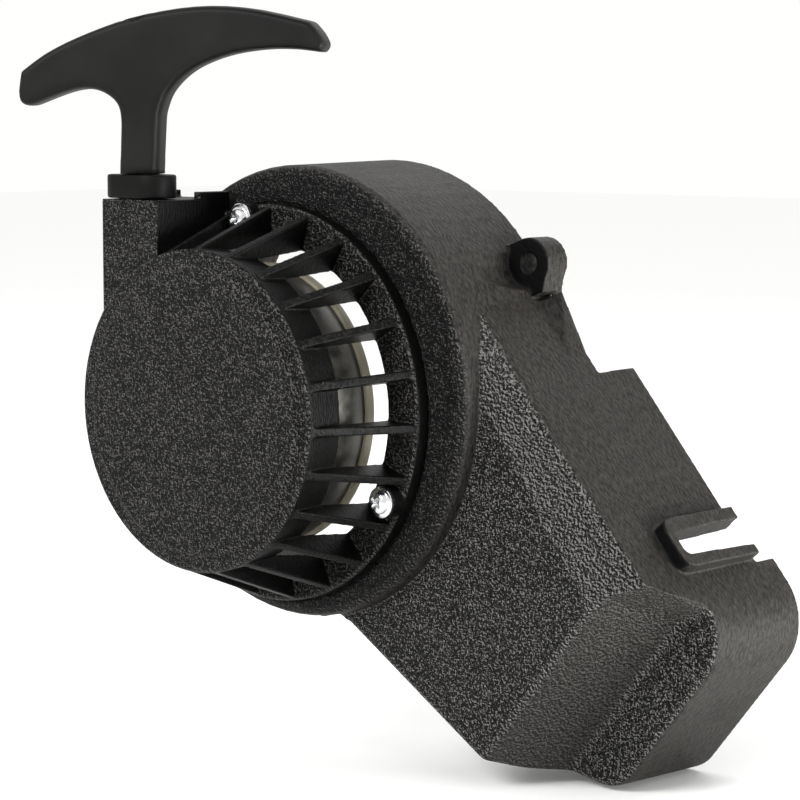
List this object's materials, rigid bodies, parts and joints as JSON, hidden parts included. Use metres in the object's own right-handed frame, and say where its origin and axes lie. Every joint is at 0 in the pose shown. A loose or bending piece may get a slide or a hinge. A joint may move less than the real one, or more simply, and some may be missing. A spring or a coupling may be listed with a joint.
{
  "type": "recoil starter",
  "caption": "Pull-cord recoil starter with reel, recoil spring and pawls, on a fan shroud with a side duct for a small two-stroke engine.",
  "frame": {"origin": "on the crankshaft's axis, in the plane where the shroud's round part seats on the engine", "axes": "+Y along the crankshaft into the engine, +Z the way the rope is pulled, +X right seen from the front"},
  "size_m": [0.1967, 0.1135, 0.2153],
  "materials": {
    "black_cast": "leather-grained moulded black nylon",
    "black_satin": "smooth satin dark grey-black",
    "cream_nylon": "natural nylon",
    "zinc_steel": "pressed zinc-plated steel",
    "spring_steel": "oiled spring steel",
    "bright_screw": "bright zinc-plated screw",
    "black_rope": "braided nylon cord"
  },
  "bodies": {
    "housing": {"fan_shroud": "black_cast", "starter_cover": "black_cast", "rope_guide": "black_satin", "cover_screw_1": "bright_screw", "cover_screw_2": "bright_screw", "cover_screw_3": "bright_screw", "recoil_spring": "spring_steel", "centre_screw": "bright_screw", "retaining_washer": "zinc_steel", "guide_spacer": "zinc_steel", "friction_spring": "spring_steel", "rope_run": "black_rope"},
    "reel": {"rope_pulley": "cream_nylon", "spring_cup": "zinc_steel", "drive_plate": "cream_nylon", "pawl_pin_1": "zinc_steel", "pawl_pin_2": "zinc_steel", "rope_winding": "black_rope"},
    "pawl_one": {"pawl_1": "spring_steel"},
    "pawl_two": {"pawl_2": "spring_steel"},
    "guide": {"pawl_guide": "zinc_steel"},
    "rope_end": {"rope_knot": "black_rope", "knot_washer": "zinc_steel"},
    "grip": {"handle": "black_satin", "handle_plug": "black_satin"}
  },
  "joints": [
    {"name": "handle_pull", "type": "slide", "parent": "housing", "child": "rope_end", "axis": [0, 0, 1], "range_m": [0, 0.55], "stiffness_N_per_m": 30, "springref_m": -0.2, "deforming": ["rope_run"]},
    {"name": "handle_twist", "type": "hinge", "parent": "rope_end", "child": "grip", "pos_m": [-0.0302, -0.0679, 0.1], "axis": [0, 0, 1], "range_deg": [-90, 90]},
    {"name": "reel_spin", "type": "hinge", "parent": "housing", "child": "reel", "pos_m": [0, -0.06, 0], "axis": [0, 1, 0], "range_deg": [0, 1330]},
    {"name": "guide_turn", "type": "hinge", "parent": "reel", "child": "guide", "pos_m": [0, -0.0413, 0], "axis": [0, -1, 0], "range_deg": [-1, 30]},
    {"name": "pawl_one_swing", "type": "hinge", "parent": "reel", "child": "pawl_one", "pos_m": [0.013, -0.0442, 0.02252], "axis": [0, -1, 0], "range_deg": [-2, 36]},
    {"name": "pawl_two_swing", "type": "hinge", "parent": "reel", "child": "pawl_two", "pos_m": [-0.013, -0.0442, -0.02252], "axis": [0, -1, 0], "range_deg": [-2, 36]}
  ],
  "couplings": [
    {"joint": "reel_spin", "follows": "handle_pull", "rad_per_m": 42},
    {"joint": "pawl_one_swing", "follows": "guide_turn", "ratio": 1.1667},
    {"joint": "pawl_two_swing", "follows": "guide_turn", "ratio": 1.1667}
  ]
}
